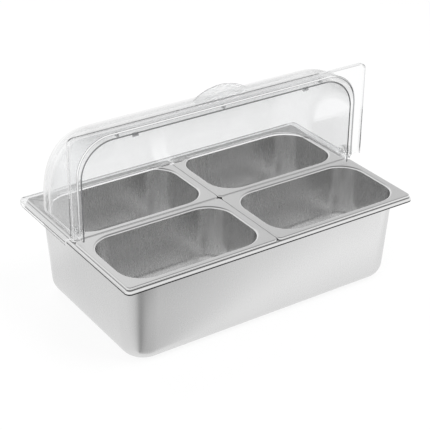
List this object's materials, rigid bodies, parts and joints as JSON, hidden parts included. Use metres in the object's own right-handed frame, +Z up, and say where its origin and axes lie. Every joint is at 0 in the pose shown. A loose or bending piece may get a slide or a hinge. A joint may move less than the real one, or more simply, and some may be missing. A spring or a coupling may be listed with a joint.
{
  "type": "condiment server",
  "caption": "Deep steel food pan with lift-out inner pans hung from its rim and a clear roll-top cover whose front half turns back over the rear half.",
  "frame": {"origin": "centre of the deep pan's flat underside", "axes": "+X to the right along the long side, +Y to the back, where the fixed half of the cover stands, +Z up"},
  "size_m": [0.546, 0.3285, 0.347],
  "materials": {
    "pan_steel": "satin stainless sheet, brighter along the turned rim",
    "quarter_steel": "satin stainless sheet, brighter along the turned rim",
    "clear_cover": "clear polished polycarbonate, edges darker",
    "pivot_plastic": "clear moulded plastic"
  },
  "bodies": {
    "deep_pan": {"deep_pan": "pan_steel"},
    "quarter_pan_front_left": {"quarter_pan_front_left": "quarter_steel"},
    "quarter_pan_front_right": {"quarter_pan_front_right": "quarter_steel"},
    "quarter_pan_rear_left": {"quarter_pan_rear_left": "quarter_steel"},
    "quarter_pan_rear_right": {"quarter_pan_rear_right": "quarter_steel"},
    "rear_cover": {"rear_cover": "clear_cover", "hinge_pin_left": "pivot_plastic", "hinge_pin_right": "pivot_plastic", "hinge_washer_left": "pivot_plastic", "hinge_washer_right": "pivot_plastic", "hinge_cap_left": "pivot_plastic", "hinge_cap_right": "pivot_plastic"},
    "front_cover": {"front_cover": "clear_cover"}
  },
  "joints": [
    {"name": "cover_lift", "type": "slide", "parent": "deep_pan", "child": "rear_cover", "axis": [0, 0, 1], "range_m": [0, 0.3]},
    {"name": "front_cover_roll", "type": "hinge", "parent": "rear_cover", "child": "front_cover", "pos_m": [0, 0, 0.171], "axis": [1, 0, 0], "range_deg": [0, 90]},
    {"name": "quarter_lift_front_left", "type": "slide", "parent": "deep_pan", "child": "quarter_pan_front_left", "axis": [0, 0, 1], "range_m": [0, 0.12]},
    {"name": "quarter_lift_front_right", "type": "slide", "parent": "deep_pan", "child": "quarter_pan_front_right", "axis": [0, 0, 1], "range_m": [0, 0.12]},
    {"name": "quarter_lift_rear_left", "type": "slide", "parent": "deep_pan", "child": "quarter_pan_rear_left", "axis": [0, 0, 1], "range_m": [0, 0.12]},
    {"name": "quarter_lift_rear_right", "type": "slide", "parent": "deep_pan", "child": "quarter_pan_rear_right", "axis": [0, 0, 1], "range_m": [0, 0.12]}
  ],
  "couplings": [
    {"joint": "quarter_lift_front_left", "follows": "cover_lift", "ratio": 0.4},
    {"joint": "quarter_lift_front_right", "follows": "cover_lift", "ratio": 0.4},
    {"joint": "quarter_lift_rear_left", "follows": "cover_lift", "ratio": 0.4},
    {"joint": "quarter_lift_rear_right", "follows": "cover_lift", "ratio": 0.4}
  ]
}
